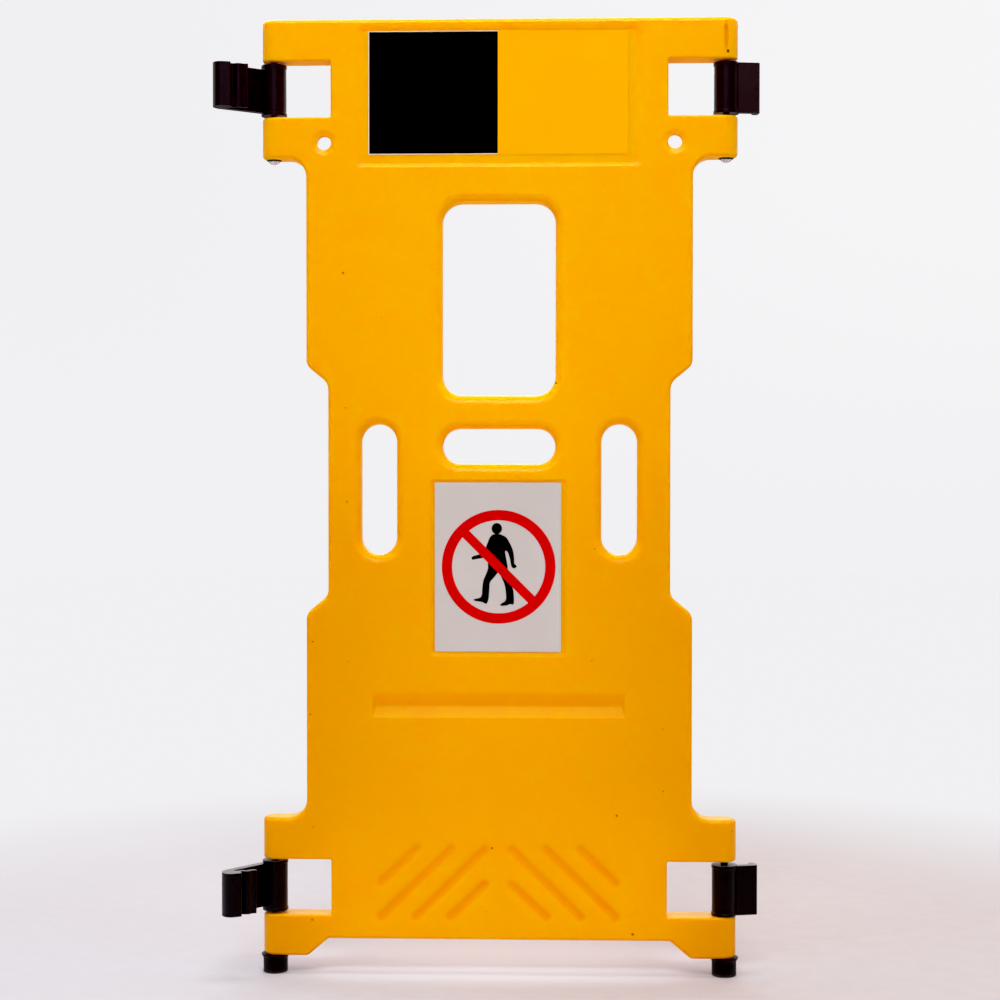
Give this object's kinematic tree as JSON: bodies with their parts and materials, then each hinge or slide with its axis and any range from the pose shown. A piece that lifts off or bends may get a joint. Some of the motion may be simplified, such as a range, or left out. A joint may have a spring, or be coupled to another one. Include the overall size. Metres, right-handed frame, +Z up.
{
  "type": "safety barrier",
  "caption": "Floor-standing yellow plastic barrier panel with hand slots, a sign, rubber feet, and swivel hooks and catches on its sides for linking panels into a fence.",
  "frame": {"origin": "on the floor, midway between the two feet, in the panel's mid-plane", "axes": "+Z up; +X to the right seen from the front; the front, with the sign, faces -Y"},
  "size_m": [0.5696, 0.0718, 1.006],
  "materials": {
    "yellow_plastic": "satin moulded polyethylene",
    "label_film": "smooth printed film",
    "sign_white": "smooth printed plate",
    "pin_steel": "zinc-plated",
    "black_plastic": "satin moulded nylon",
    "foot_rubber": "dull moulded rubber"
  },
  "bodies": {
    "panel": {"panel_shell": "yellow_plastic", "name_label": "label_film", "sign_plate": "sign_white", "upper_left_pin": "pin_steel", "upper_right_pin": "pin_steel", "lower_left_pin": "pin_steel", "lower_right_pin": "pin_steel", "upper_left_washer": "black_plastic", "upper_right_washer": "black_plastic", "left_foot": "foot_rubber", "right_foot": "foot_rubber"},
    "upper_left_hook": {"upper_left_clip": "black_plastic"},
    "lower_left_hook": {"lower_left_clip": "black_plastic"},
    "upper_right_catch": {"upper_right_clip": "black_plastic"},
    "lower_right_catch": {"lower_right_clip": "black_plastic"}
  },
  "joints": [
    {"name": "upper_left_swivel", "type": "hinge", "parent": "panel", "child": "upper_left_hook", "pos_m": [-0.238, 0, 0.93345], "axis": [0, 0, 1], "range_deg": [-187, 113]},
    {"name": "lower_left_swivel", "type": "hinge", "parent": "panel", "child": "lower_left_hook", "pos_m": [-0.238, 0, 0.09285], "axis": [0, 0, 1], "range_deg": [-200.5, 99.5]},
    {"name": "upper_right_swivel", "type": "hinge", "parent": "panel", "child": "upper_right_catch", "pos_m": [0.238, 0, 0.93365], "axis": [0, 0, 1], "continuous": true},
    {"name": "lower_right_swivel", "type": "hinge", "parent": "panel", "child": "lower_right_catch", "pos_m": [0.238, 0, 0.09075], "axis": [0, 0, 1], "continuous": true}
  ]
}
